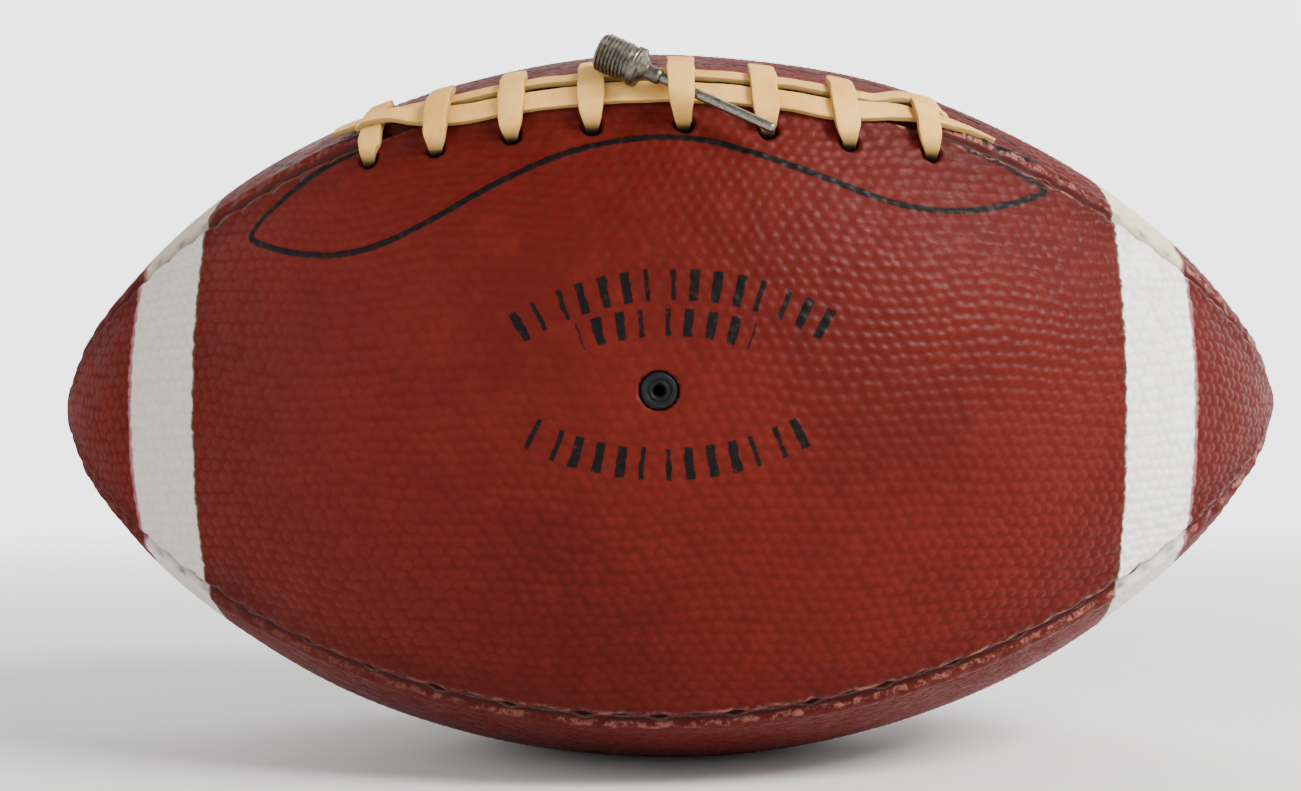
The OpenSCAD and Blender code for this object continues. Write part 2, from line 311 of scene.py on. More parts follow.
def pebbles(u, v, seed):
    """Domed pebbles laid in wavy rows: height 0 to 1, and how far above the creases."""
    u = u + 1.2 * waves(u, v, 17.0, seed) + 0.6 * np.sin(v / 7.0)
    v = v + 1.2 * waves(u, v, 19.0, seed + 7) + 0.5 * np.sin(u / 9.0)
    p, q = GRAIN_U, GRAIN_V
    j0 = np.floor(v / q)
    f1 = np.full(u.shape, 99.0)
    for dj in (-1, 0, 1):
        j = j0 + dj
        off = 0.5 * np.mod(j, 2)
        i0 = np.floor(u / p - off)
        for di in (-1, 0, 1):
            i = i0 + di
            cx = (i + off + 0.5 + 0.34 * (rnd(i, j, seed) - 0.5)) * p
            cy = (j + 0.5 + 0.34 * (rnd(i, j, seed + 5) - 0.5)) * q
            size = 0.9 + 0.2 * rnd(i, j, seed + 9)
            f1 = np.minimum(f1, np.hypot(0.95 * (u - cx), 1.03 * (v - cy)) / size)
    top = 0.5 + 0.5 * np.cos(np.pi * np.clip(f1 / 1.62, 0, 1))
    return top, smooth(top, 0.0, 0.5)


def ridge(x, middle, half_width):
    """A smooth bump of height 1."""
    return np.exp(-(((x - middle) / half_width) ** 2))


def divisions(k):
    """How many stations a panel has, and how many angles in an edge zone and in half of its middle."""
    return (600, 15, 120) if k == 0 else (440, 15, 92)


def grain(k, U, V, e, small):
    """Pebbled grain, flatter where the ball is worn: its height in mm, and masks of crease and height."""
    pebble, crease = pebbles(U, V, 3.0 + k)
    worn = 0.66 + 0.16 * waves(U, V, 46.0, 11 + k) + 0.2 * np.clip(U / 100, -1, 1)
    if k == 0:
        worn = worn - 0.2 * smooth(-V, -5, 45) * smooth(-U, -60, 60) + 0.16 * smooth(V, 0, 40)
    worn = np.clip(worn * (0.6 + 0.4 * smooth(U, -125, -30)), 0.22, 1.0)
    h = GRAIN_H * worn * (pebble - 0.5) * smooth(e, 0.6, 3.2) * small
    return h, crease * smooth(e, 0.8, 3.0) + (1 - smooth(e, 0.8, 3.0)), worn


def rolled_seam(k, U, A, e, small, laced):
    """Edges that roll into the seam, pulled in at each stitch: their height, and a mask of stitches."""
    along = (U + (0.0 if k % 2 else PITCH * 0.35)) / PITCH
    amp = 0.5 + 0.5 * rnd(np.floor(along), np.sign(A) + 2.0, 21 + k)
    pull = ridge((np.mod(along, 1.0) - 0.5) * PITCH, 0, 1.5)
    h = small * (-2.0 * ridge(e, 0, 1.25) + 0.42 * ridge(e, 3.4, 1.9))
    pucker = -0.55 * pull * ridge(e, 1.9, 1.2) + 0.22 * (1 - pull) * ridge(e, 2.8, 1.6)
    return h + small * (1 - laced) * amp * pucker, (1 - laced) * pull * ridge(e, 1.7, 0.7) * amp * small


def lace_holes(k, base, U, V):
    """Dimples with a raised rim round the lace holes: their height, and a mask for painted shade in the
    holes.
    """
    h, hole = np.zeros(U.shape), np.zeros(U.shape)
    for x in LACE_X:
        r = np.linalg.norm(base - foot(x, 1 if k == 0 else -1), axis=-1)
        ragged = r + 0.25 * waves(U + x, V, 1.4, 41)
        h += -0.55 * ridge(r, 0, 3.2) + 0.28 * ridge(r, 2.6, 0.8) - 4.0 * (1 - smooth(ragged, 1.25, 2.0))
        # the mask paints shade into the holes
        hole = np.maximum(hole, 1 - smooth(ragged, 1.5, 2.7))
    return h, hole


def outline_distance(k, T, e, base, lace_side):
    """For each point, how far it is from the printed outline, and how far along the outline that is."""
    pick = np.nonzero((e < 40) & lace_side & (np.abs(T * HALF) < 95))
    pts = base[pick]
    best, along = np.full(len(pts), FAR), np.zeros(len(pts))
    curve = outline_curve()
    c = on_seam_side(curve[:, 0], curve[:, 1] + k * 5.0 * smooth(curve[:, 1], 4, 12), k)
    steps = np.diff(c, axis=0)
    lengths = np.linalg.norm(steps, axis=1)
    run = np.concatenate([[0], np.cumsum(lengths)])
    for start, step, length, before in zip(c, steps, lengths, run):
        f = np.clip(((pts - start) @ step) / max(length**2, 1e-9), 0, 1)
        d = np.linalg.norm(pts - start - f[:, None] * step, axis=1)
        along = np.where(d < best, before + f * length, along)
        best = np.minimum(d, best)
    off, on = np.full(T.shape, FAR), np.zeros(T.shape)
    off[pick], on[pick] = best, along
    return off, on


def valve_seat(base, h, hole):
    """The grain fades out round the valve, and the seat drops away inside it."""
    r = np.hypot(base[..., 0] - VALVE[0], base[..., 2] - VALVE[1])
    h = h * smooth(r, VALVE_R + 0.1, VALVE_R + 1.6)
    h += -3.0 * (1 - smooth(r, VALVE_R - 0.05, VALVE_R + 0.25))
    h += -0.3 * ridge(r, VALVE_R + 0.1, 1.0) * (r > VALVE_R)
    # and painted shade round the seat's edge
    return h, np.maximum(hole, 0.9 * (1 - smooth(r, VALVE_R, VALVE_R + 0.55)))


def open_seat(mesh):
    """Takes out the leather inside the valve's seat."""
    bm = bmesh.new()
    bm.from_mesh(mesh)
    seat = [v for v in bm.verts if v.co.y < 0
            and math.hypot(v.co.x * 1000 - VALVE[0], v.co.z * 1000 - VALVE[1]) < VALVE_R - 0.25]
    bmesh.ops.delete(bm, geom=seat, context="VERTS")
    bm.to_mesh(mesh)
    bm.free()


def inner_side(k, t):
    """Turned-in edges and the inner face: the points that close the panel's section at each station."""
    turned = 2.2 + 3.0 * np.sqrt(np.clip(1 - t * t, 0, None))
    lip_a = 45 - 1.2 * np.minimum(2.0, 1 / np.maximum(prof(t), 1e-6))

    def row(depth, a):
        a = np.zeros_like(t) + a
        return point(depth, t, BASE[k] + a, a)

    def lip(side):
        return [row(turned, 45.0 * side), row(turned, side * lip_a), row(LEATHER_T, side * lip_a)]

    face = [row(LEATHER_T, a) for a in range(36, -37, -12)]
    return np.stack(lip(1) + face + lip(-1)[::-1], 1)


def panel(k, name):
    stations, n_edge, n_mid = divisions(k)
    t, arc = station_grid(stations)
    a_edge = 45 - np.linspace(0, 1, n_edge, endpoint=False) * EDGE_ZONE
    a_mid = np.linspace(EDGE_ZONE - 45, 45 - EDGE_ZONE, 2 * n_mid + 1)
    T, A = np.meshgrid(t, np.concatenate([-a_edge, a_mid, a_edge[::-1]]), indexing="ij")
    base = point(0.0, T, BASE[k] + A, A)
    nrm = unit(np.cross(np.gradient(base, axis=1), np.gradient(base, axis=0)))
    inward = np.sum(nrm[..., 1:] * (base[..., 1:] - [0, REST]), -1, keepdims=True) < 0
    nrm = np.where(inward, -nrm, nrm)
    # distances over the surface in mm: along the ball, across the panel, and from the nearer seam
    rad = sec(T, A) * prof(T)
    U, V, e = np.broadcast_to(arc[:, None], T.shape), np.radians(A) * rad, np.radians(45 - np.abs(A)) * rad
    small = np.clip(rad / 16.0, 0, 1)
    # towards a seam the leather moves along the seam's own plane, so that two panels meet in it
    wd = np.radians(BASE[k] + np.sign(A) * 45)
    diag = np.stack([0 * wd, np.cos(wd), np.sin(wd)], -1)
    b = (1 - smooth(e, 0.0, 4.0))[..., None]
    move = unit(nrm * (1 - b) + diag * b)

    lace_side = (k == 0) & (A < 0) | (k == 1) & (A > 0)
    laced = np.where(lace_side, smooth(70 - np.abs(T * HALF - 0.5), 0, 6), 0.0)
    h, crease, worn = grain(k, U, V, e, small)
    rolled, dots = rolled_seam(k, U, A, e, small, laced)
    h += rolled + 0.25 * waves(U, V, 30.0, 31 + k) * small * smooth(e, 3, 12)
    # painted shade in the groove of each seam
    dark = 0.75 * ridge(e, 0, 1.0) * small
    hole, line_off, line_on = np.zeros_like(T), np.full(T.shape, FAR), np.zeros(T.shape)
    if k < 2:
        dimples, hole = lace_holes(k, base, U, V)
        line_off, line_on = outline_distance(k, T, e, base, lace_side)
        # the outline's ink stands a little proud
        h += dimples + 0.12 * (1 - smooth(line_off, 0.5, 1.0))
    if k == 0:
        h, hole = valve_seat(base, h, hole)

    inner = inner_side(k, t)
    rings = np.concatenate([base + move * h[..., None], inner], 1)
    rings[..., 2] = np.maximum(rings[..., 2], 0.0)

    def pad(x, fill=0.0):
        return [np.concatenate([x, np.full((len(t), inner.shape[1]), fill)], 1)]

    mesh = make_mesh(name, [(rings, True, True)], {
        "crease": pad(crease, 1.0), "worn": pad(worn), "dark": pad(dark), "dots": pad(dots),
        "hole": pad(hole), "line_off": pad(line_off, FAR), "line_on": pad(line_on), "edge": pad(e)})
    if k == 0:
        open_seat(mesh)
    return link(name, mesh)


# ---------------------------------------------------------------- materials
def material(name):
    m = bpy.data.materials.new(name)
    m.use_nodes = True
    m.node_tree.nodes.clear()
    return m


class Nodes:
    """Short names for building a shader."""

    def __init__(self, mat):
        self.t = mat.node_tree
        self.out = self.t.nodes.new("ShaderNodeOutputMaterial")
        self.p = self.t.nodes.new("ShaderNodeBsdfPrincipled")
        self.t.links.new(self.p.outputs[0], self.out.inputs[0])
        tc = self.t.nodes.new("ShaderNodeTexCoord")
        scale = self.t.nodes.new("ShaderNodeVectorMath")
        scale.operation = "SCALE"
        scale.inputs["Scale"].default_value = 1000.0
        self.t.links.new(tc.outputs["Object"], scale.inputs[0])
        self.mm = scale.outputs[0]

    def put(self, sock, v):
        if isinstance(v, bpy.types.NodeSocket):
            self.t.links.new(v, sock)
        elif isinstance(v, (tuple, list)) and len(sock.default_value) == 4 and len(v) == 3:
            sock.default_value = (*v, 1.0)
        else:
            sock.default_value = v

    def attr(self, name):
        n = self.t.nodes.new("ShaderNodeAttribute")
        n.attribute_name = name
        return n.outputs["Fac"]

    def math(self, op, a, b=0.0):
        n = self.t.nodes.new("ShaderNodeMath")
        n.operation = op
        for s, v in zip(n.inputs, (a, b)):
            self.put(s, v)
        return n.outputs[0]

    def add(self, a, b):
        return self.math("ADD", a, b)

    def mul(self, a, b):
        return self.math("MULTIPLY", a, b)

    def step(self, v, a, b, lo=0.0, hi=1.0):
        """Eases from lo to hi while v goes from a to b."""
        n = self.t.nodes.new("ShaderNodeMapRange")
        n.interpolation_type = "SMOOTHSTEP"
        for s, x in zip(n.inputs[:5], (v, a, b, lo, hi)):
            self.put(s, x)
        return n.outputs[0]

    def band(self, v, a, b, soft_a, soft_b):
        """1 while v is between a and b, with soft edges of these half widths."""
        return self.mul(self.step(v, a - soft_a, a + soft_a), self.step(v, b - soft_b, b + soft_b, 1.0, 0.0))

    def mix(self, f, a, b):
        n = self.t.nodes.new("ShaderNodeMix")
        n.data_type = "RGBA"
        self.put(n.inputs[0], f)
        self.put(n.inputs[6], a)
        self.put(n.inputs[7], b)
        return n.outputs[2]

    def noise(self, scale, detail=3.0, rough=0.55, stretch=None, distort=0.0):
        """Noise over millimetres: scale is features per mm."""
        n = self.t.nodes.new("ShaderNodeTexNoise")
        v = self.mm
        if stretch:
            s = self.t.nodes.new("ShaderNodeVectorMath")
            s.operation = "MULTIPLY"
            self.put(s.inputs[0], v)
            s.inputs[1].default_value = stretch
            v = s.outputs[0]
        self.t.links.new(v, n.inputs["Vector"])
        n.inputs["Scale"].default_value = scale
        n.inputs["Detail"].default_value = detail
        n.inputs["Roughness"].default_value = rough
        n.inputs["Distortion"].default_value = distort
        return n.outputs["Fac"]

    def voronoi(self, scale):
        n = self.t.nodes.new("ShaderNodeTexVoronoi")
        n.feature = "DISTANCE_TO_EDGE"
        self.t.links.new(self.mm, n.inputs["Vector"])
        n.inputs["Scale"].default_value = scale
        return n.outputs["Distance"]

    def xyz(self):
        n = self.t.nodes.new("ShaderNodeSeparateXYZ")
        self.t.links.new(self.mm, n.inputs[0])
        return n.outputs

    def bump(self, height, mm, strength, normal=None):
        n = self.t.nodes.new("ShaderNodeBump")
        n.inputs["Strength"].default_value = strength
        n.inputs["Distance"].default_value = mm * 0.001
        self.put(n.inputs["Height"], height)
        if normal is not None:
            self.t.links.new(normal, n.inputs["Normal"])
        return n.outputs[0]


def bars_on_arc(n, x, z, cx, cz, radius, half_run, pitch, height, up):
    """Mask of short bars standing across an arc: 1 where a bar is."""
    dx, dz = n.math("SUBTRACT", x, cx), n.math("SUBTRACT", z, cz)
    r = n.math("SQRT", n.add(n.mul(dx, dx), n.mul(dz, dz)))
    ang = n.math("ARCTAN2", dx, dz if up else n.mul(dz, -1.0))
    from_arc = n.math("ABSOLUTE", n.math("SUBTRACT", r, radius))
    row = n.step(from_arc, height / 2 - 0.12, height / 2 + 0.12, 1.0, 0.0)
    run = n.mul(ang, radius)
    ends = n.step(n.math("ABSOLUTE", run), half_run, half_run + 0.2, 1.0, 0.0)
    # both patterns start far to the left, so that the run is never negative
    start = 500 * pitch
    bar = n.step(n.math("PINGPONG", n.add(run, start), pitch / 2), 0.78, 1.0, 1.0, 0.0)
    gap = n.math("PINGPONG", n.add(run, start + pitch / 2), pitch * 2.5)
    group = n.step(gap, pitch * 0.45, pitch * 0.5)
    return n.mul(n.mul(row, ends), n.mul(bar, group))


INK = (0.0035, 0.0028, 0.0028)


def hide_colour(n, k, mid, fine, crease_shade):
    """Brick red leather, scuffed, with painted shade between the pebbles and painted shade near the seams,
    where the leather rolls into them.
    """
    col = n.mix(n.step(n.noise(0.022, 3), 0.36, 0.66), (0.078, 0.0046, 0.0022), (0.101, 0.0070, 0.0034))
    col = n.mix(n.step(mid, 0.45, 0.72, 0.0, 0.4), col, (0.120, 0.0110, 0.0058))
    col = n.mix(n.step(fine, 0.55, 0.8, 0.0, 0.35), col, (0.075, 0.0050, 0.0032))
    scuff = n.noise(0.35, 5, 0.7, distort=1.0)
    col = n.mix(n.step(scuff, 0.68, 0.80, 0.0, 0.3), col, (0.19, 0.040, 0.026))
    # painted shade: the creases between the pebbles are darkened, more where the pebbles stand taller
    col = n.mix(n.mul(crease_shade, n.step(n.attr("worn"), 0.2, 1.0, 0.12, 0.42)), col, (0.050, 0.0035, 0.0022))
    # painted shade: the leather darkens towards each seam, over a wider band on the front panel, where it
    # rolls into the seam
    roll = n.step(n.attr("edge"), 0.0, 13.0 if k == 0 else 7.0, 0.62, 1.0)
    return n.mix(roll, (0.030, 0.0020, 0.0012), col)


def stripe_colour(n, k, col, x, mid, crease_shade):
    """White end stripes over the leather, with a brown inner edge and a pink outer one."""
    wobbly = n.add(n.math("ABSOLUTE", x), n.step(n.noise(0.5, 3), 0.2, 0.8, -0.35, 0.35))
    inside = n.band(wobbly, STRIPE_IN, STRIPE_OUT, 0.12, 0.12)
    # painted shade and light: each panel's white is darker on the left stripe and brighter on the right one,
    # where the light is stronger; each panel has its own pair
    tones = {1: ((0.50, 0.43, 0.32), (0.74, 0.64, 0.44)), 3: ((0.62, 0.52, 0.53), (0.70, 0.66, 0.62))}
    white = n.mix(n.step(x, -10.0, 10.0), *tones.get(k, ((0.56, 0.53, 0.46), (0.88, 0.88, 0.82))))
    white = n.mix(n.step(mid, 0.4, 0.7, 0.0, 0.35), white, (0.66, 0.61, 0.52))
    # painted shade in the creases of the white paint too
    white = n.mix(n.mul(crease_shade, 0.32), white, (0.40, 0.33, 0.26))
    paint = n.mul(inside, n.step(n.noise(0.55, 6, 0.75, distort=0.8), 0.67, 0.72, 1.0, 0.12))
    col = n.mix(paint, col, white)
    inner_line = n.band(wobbly, STRIPE_IN - 0.375, STRIPE_IN + 0.3, 0.175, 0.2)
    col = n.mix(n.mul(inner_line, 0.8), col, (0.070, 0.028, 0.008))
    outer_line = n.band(wobbly, STRIPE_OUT - 0.3, STRIPE_OUT + 0.7, 0.2, 0.3)
    return n.mix(n.mul(outer_line, 0.6), col, (0.42, 0.17, 0.20)), inside, paint


def outline_ink(n, col, fine):
    """The printed outline, faintly broken into dashes."""
    dash = n.step(n.math("PINGPONG", n.attr("line_on"), 3.0), 0.1, 0.5)
    ragged = n.add(n.attr("line_off"), n.step(fine, 0.2, 0.8, -0.15, 0.15))
    line = n.mul(n.step(ragged, 0.50, 0.88, 1.0, 0.0), n.math("MAXIMUM", dash, 0.86))
    wear = n.step(n.noise(0.8, 5, 0.7), 0.62, 0.74, 1.0, 0.25)
    return n.mix(n.mul(line, wear), col, INK)


def bar_ink(n, col, x, z):
    """Three arcs of plain bars round the valve, in place of the printed words."""
    wobble = n.step(n.noise(0.4, 3), 0.2, 0.8, -0.25, 0.25)
    xx, zz = n.add(x, wobble), n.add(z, wobble)
    rows = [bars_on_arc(n, xx, zz, 4.5, REST - 36.4, 59.0, 33.5, 4.4, 6.2, True),
            bars_on_arc(n, xx, zz, 3.4, REST - 36.4, 51.6, 17.0, 4.4, 5.4, True),
            bars_on_arc(n, xx, zz, 3.4, REST + 46.4, 58.6, 29.0, 4.4, 6.2, False)]
    marks = n.math("MAXIMUM", n.math("MAXIMUM", rows[0], rows[1]), rows[2])
    rub = n.step(n.noise(0.5, 5, 0.75), 0.56, 0.70, 1.0, 0.15)
    return n.mix(n.mul(marks, rub), col, INK)


def seam_colour(n, k, col, x, inside, paint):
    """Painted shade in the seams' grooves, a lighter ridge beside them that is partly wear and partly painted
    highlight, stitch marks, and painted shade in the lace holes.
    """
    # painted shade: the seam's groove is darkened nearly to black
    col = n.mix(n.mul(n.attr("dark"), 0.95), col, (0.012, 0.003, 0.0025))
    edge = n.attr("edge")
    near_edge, far_edge = (0.9, 1.9) if k == 3 else (1.3, 2.4)
    # the ridge beside each seam is lighter: partly wear, partly a painted highlight, stronger on the lit
    # right side
    ridge_wear_and_highlight = n.band(edge, near_edge + 0.25, far_edge + 0.35, 0.25, 0.35)
    ridge_wear_and_highlight = n.mul(ridge_wear_and_highlight, n.step(n.noise(0.42, 5, 0.75), 0.46, 0.60))
    ridge_wear_and_highlight = n.mul(ridge_wear_and_highlight, n.math("SUBTRACT", 1.0, paint))
    col = n.mix(n.mul(ridge_wear_and_highlight, n.step(x, -110.0, 60.0, 0.15, 0.7)), col, (0.33, 0.13, 0.10))
    # stitches show most on the white paint
    dots = n.mul(n.attr("dots"), n.add(n.mul(inside, 0.65), 0.25))
    col = n.mix(n.math("MINIMUM", dots, 0.9), col, (0.012, 0.005, 0.004))
    # painted shade inside the lace holes and round the edge of the valve's seat
    return n.mix(n.attr("hole"), col, (0.006, 0.003, 0.003))


def leather_material(k):
    m = material("pebbled_leather_%d" % k)
    n = Nodes(m)
    x, _, z = n.xyz()
    mid, fine = n.noise(0.16, 4), n.noise(1.3, 4)
    # mask of the creases between the pebbles: it paints shade into them and makes them rougher
    crease_shade = n.step(n.attr("crease"), 0.0, 0.85, 1.0, 0.0)
    col = hide_colour(n, k, mid, fine, crease_shade)
    col, inside, paint = stripe_colour(n, k, col, x, mid, crease_shade)
    if k < 2:
        col = outline_ink(n, col, fine)
    if k == 0:
        col = bar_ink(n, col, x, z)
    n.put(n.p.inputs["Base Color"], seam_colour(n, k, col, x, inside, paint))
    rough = n.add(n.step(mid, 0.3, 0.7, 0.38, 0.50), n.mul(crease_shade, 0.2))
    rough = n.add(rough, n.mul(paint, 0.08))
    # the left tip is the dullest
    n.put(n.p.inputs["Roughness"], n.add(rough, n.step(x, -118.0, -70.0, 0.35, 0.0)))
    n.p.inputs["Specular IOR Level"].default_value = 0.10
    nb = n.bump(n.noise(1.6, 6, 0.7), 0.08, 0.6)
    n.put(n.p.inputs["Normal"], n.bump(n.voronoi(1.25), 0.06, 0.25, nb))
    return m


def lace_material():
    m = material("lace_hide")
    n = Nodes(m)
    col = n.mix(n.step(n.noise(0.09, 3), 0.35, 0.65), (0.72, 0.36, 0.075), (0.83, 0.46, 0.12))
    col = n.mix(n.step(n.noise(0.9, 5, 0.7), 0.5, 0.75, 0.0, 0.5), col, (0.88, 0.56, 0.21))
    col = n.mix(n.step(n.noise(0.35, 4, 0.7), 0.60, 0.75, 0.0, 0.5), col, (0.48, 0.25, 0.06))
    col = n.mix(n.mul(n.attr("rim"), 0.8), col, (0.26, 0.17, 0.05))
    # painted shade on the lace where it goes down into the holes
    col = n.mix(n.attr("foot"), col, (0.03, 0.018, 0.008))
    n.put(n.p.inputs["Base Color"], col)
    n.put(n.p.inputs["Roughness"], n.step(n.noise(0.8, 3), 0.3, 0.7, 0.62, 0.82))
    n.p.inputs["Specular IOR Level"].default_value = 0.25
    nb = n.bump(n.noise(2.2, 6, 0.75), 0.10, 0.8)
    nb = n.bump(n.noise(0.5, 4, 0.6), 0.18, 0.6, nb)
    n.put(n.p.inputs["Normal"], nb)
    return m


def simple_material(name, dark, light, rough, metal=0.0, scale=1.0, bump=0.04, tint=None, spec=0.4,
                    stretch=None):
    """Two mottled tones, and a third in patches where tint is given."""
    m = material(name)
    n = Nodes(m)
    col = n.mix(n.step(n.noise(scale, 5, 0.65, stretch=stretch), 0.3, 0.72), dark, light)
    if tint:
        col = n.mix(n.step(n.noise(scale * 0.35, 4, 0.7), 0.52, 0.68), col, tint)
    n.put(n.p.inputs["Base Color"], col)
    dullness = n.step(n.noise(scale * 0.7, 4), 0.3, 0.7, rough * 0.8, min(1.0, rough * 1.25))
    n.put(n.p.inputs["Roughness"], dullness)
    n.p.inputs["Metallic"].default_value = metal
    n.p.inputs["Specular IOR Level"].default_value = spec
    n.put(n.p.inputs["Normal"], n.bump(n.noise(scale * 2.5, 5, 0.7, stretch=stretch), bump, 0.8))
    return m


LACE = lace_material()
THREAD = simple_material("waxed_thread", (0.018, 0.005, 0.0035), (0.075, 0.026, 0.016), 0.75, scale=2.5)
RUBBER = simple_material("valve_rubber", (0.0045, 0.005, 0.0055), (0.010, 0.011, 0.012), 0.5, scale=0.8,
                         bump=0.03, spec=0.12)
BLADDER = simple_material("bladder_rubber", (0.02, 0.02, 0.022), (0.06, 0.06, 0.065), 0.5, scale=0.1)
CANVAS = simple_material("canvas", (0.48, 0.42, 0.32), (0.66, 0.60, 0.48), 0.9, scale=0.8)
FACING = simple_material("facing", (0.13, 0.055, 0.03), (0.24, 0.11, 0.07), 0.8, scale=0.5)
NICKEL = simple_material("dull_nickel", (0.070, 0.062, 0.048), (0.21, 0.19, 0.155), 0.40, metal=1.0,
                         scale=0.9, bump=0.02, tint=(0.13, 0.09, 0.045))
TUBE = simple_material("drawn_tube", (0.13, 0.125, 0.10), (0.32, 0.31, 0.26), 0.32, metal=1.0,
                       scale=0.7, bump=0.01, tint=(0.15, 0.12, 0.07), stretch=(1.0, 6.0, 6.0))


def dress(o, mat, node, body="ball"):
    """Gives an object its material, and makes it stand for a piece of the CAD."""
    o.data.materials.clear()
    o.data.materials.append(mat)
    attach(o, body)
    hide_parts(node)


for k, part in enumerate(("front", "top", "back", "bottom")):
    dress(panel(k, "leather_" + part), leather_material(k), "panel_" + part)

# hidden pieces keep their CAD shape and get a material
for node, mat in (("lining_front", CANVAS), ("lining_top", CANVAS), ("lining_back", CANVAS),
                  ("lining_bottom", CANVAS), ("lace_facing_front", FACING), ("lace_facing_top", FACING),
                  ("lace_tongue", FACING), ("bladder", BLADDER), ("valve_plug", RUBBER)):
    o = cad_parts[node]
    o.data.materials.clear()
    o.data.materials.append(mat)


# ---------------------------------------------------------------- seam threads
def seam_thread(name, node, w, x0, x1):
    """One waxed thread: it lies along the seam, rises at each stitch and crosses to the other panel."""
    t, arc = station_grid(3000)
    keep = (t * HALF > x0) & (t * HALF < x1)
    t, arc = t[keep], arc[keep]
    n = int((arc[-1] - arc[0]) / 0.45)  # a ring every 0.45 mm
    g = np.linspace(arc[0], arc[-1], n)
    tt = np.interp(g, arc, t)
    ph = g / PITCH + 0.35
    lat = 0.55 * np.sin(np.pi * ph) ** 3
    d = 1.75 - 0.45 * np.abs(np.sin(np.pi * ph)) ** 4
    small = np.clip(80 * prof(tt) / 16, 0.25, 1)
    c = point(d * small, tt, np.full_like(tt, w), np.full_like(tt, 45.0))
    out = heading(w)
    across = unit(np.cross(headings(c), out))
    c = c + across * (lat * small)[:, None]
    b = np.linspace(0, 2 * np.pi, 8, endpoint=False)
    dirs = headings(c)
    s1 = unit(np.cross(dirs, out))
    s2 = unit(np.cross(s1, dirs))
    r = 0.40 * small[:, None] * (1 + 0.12 * np.sin(3 * b[None] + g[:, None] * 5))
    rings = c[:, None] + s1[:, None] * (r * np.cos(b))[..., None] + s2[:, None] * (r * np.sin(b))[..., None]
    dress(link(name, make_mesh(name, [(rings, True, True)])), THREAD, node)


for part, w, x0, x1 in (("front_bottom", 225.0, -134, 134), ("bottom_back", 315.0, -134, 134),
                        ("back_top", 45.0, -134, 134), ("top_front_left", 135.0, -134, -72.5),
                        ("top_front_right", 135.0, 70.8, 134)):
    seam_thread("stitching_" + part, "thread_" + part, w, x0, x1)

# ---------------------------------------------------------------- lace
BAR_W = [4.7, 3.7, 2.4, 0.8, -0.8, -2.4, -3.7, -4.7]  # a crossbar's path: degrees from the seam,
BAR_H = [2.1, 2.6, 2.5, 2.75, 2.75, 2.5, 2.6, 2.1]  # and height above the leather


def bar_lift(x, i):
    """Extra height: the needle raises one crossbar, and the outer ones cross the seam's ridge."""
    if abs(x - 6.2) < 1:
        return [3.1, 4.4, 4.5, 3.5, 1.7, 0.5, 0, 0][i]
    return [0.3, 0.5, 0.5, 0.2, 0, 0, 0, 0][i] if abs(x) > 40 else 0.0


def crossbar(i, x):
    """One turn of the lace, from inside one hole to inside the other."""
    def in_hole(s):
        t = foot_x(x, s) / HALF
        rows = [[*above(h, t, 135 + risen(x, s * HOLE_A) * wide(t)), 2.6, 1.0] for h in (-5.0, -2.6, -0.6)]
        return rows + [[*above(0.9, t, 135 + risen(x, s * (HOLE_A - 0.4)) * wide(t)), 3.5, 0.4]]

    # on the first and last crossbar a strand lies over one half, so that half is pressed down
    pressed = {0: 1, 7: -1}.get(i, 0)
    over = []
    for j, (w, h) in enumerate(zip(BAR_W, BAR_H)):
        t = (x + w / 6 * (foot_x(x, 1) - x)) / HALF
        low = -1.5 * float(smooth(pressed * w, 0.4, 2.4))
        width = LACE_W - (0.9 if abs(w) > 4.2 else 0.25 if abs(w) > 3 else 0)
        over.append([*above(h + bar_lift(x, j) + low, t, 135 + risen(x, w) * wide(t)), width, 0.0])
    p, g = resample(np.array(in_hole(1) + over + in_hole(-1)[::-1]), 110)
    # in_dark: how much painted shade the lace gets, full inside the holes and less at their mouths
    path, w, in_dark = p[:, :3], p[:, 3], np.clip(p[:, 4], 0, 1)
    across = near(0, x / HALF - 0.01, 136) - near(0, x / HALF + 0.01, 136)
    rings = strip(path, across, w * (1 + 0.03 * np.sin(g * 0.9 + i)), LACE_T, 0.07, 50 + i)
    return rings, in_dark[:, None] * np.ones((1, STRIP_M)), cut_edges(len(path))


def lace_piece(name, node, items):
    mesh = make_mesh(name, [(rings, True, True) for rings, _, _ in items],
                     {"foot": [foot_mask for _, foot_mask, _ in items], "rim": [rim for _, _, rim in items]})
    dress(link(name, mesh), LACE, node)


def strand(s, x0, x1, seed, ends):
    """A stretch of lace that runs beside the seam; ends() shapes where it begins and stops."""
    n = 240
    x = np.linspace(x0, x1, n)
    t = x / HALF
    ws = np.array([135 + (s * 1.75 - rise(v * HALF)) * wide(v) for v in t])
    h = 0.95 + 0.10 * np.sin(x * 0.21 + seed) + 0.05 * np.sin(x * 0.5)
    width = (LACE_W - 0.9) * (1 + 0.05 * np.sin(x * 0.13 + seed))
    h, width = ends(x, h, width)
    path = np.array([near(0, tt, ww) + hh * eased_dir(tt, ww) for hh, tt, ww in zip(h, t, ws)])
    across = np.array([np.cross(eased_dir(tt, ww), [1.0, 0, 0]) for tt, ww in zip(t, ws)])
    rings = strip(path, across, width, LACE_T, 0.08, 70 + seed)
    return rings, np.zeros((n, STRIP_M)), cut_edges(n)


def upper_ends(x, h, width):
    # a free cut end on the left; on the right it lies over the last crossbar
    h = h + 0.5 * smooth(-x, 60, 67) + 1.7 * smooth(x, 44.0, 51.5) - 2.0 * smooth(x, 57.0, 60.5)
    return h, width * (1 - 0.18 * smooth(-x, 64, 67.5)) * (1 - 0.35 * smooth(x, 57.5, 60.5))


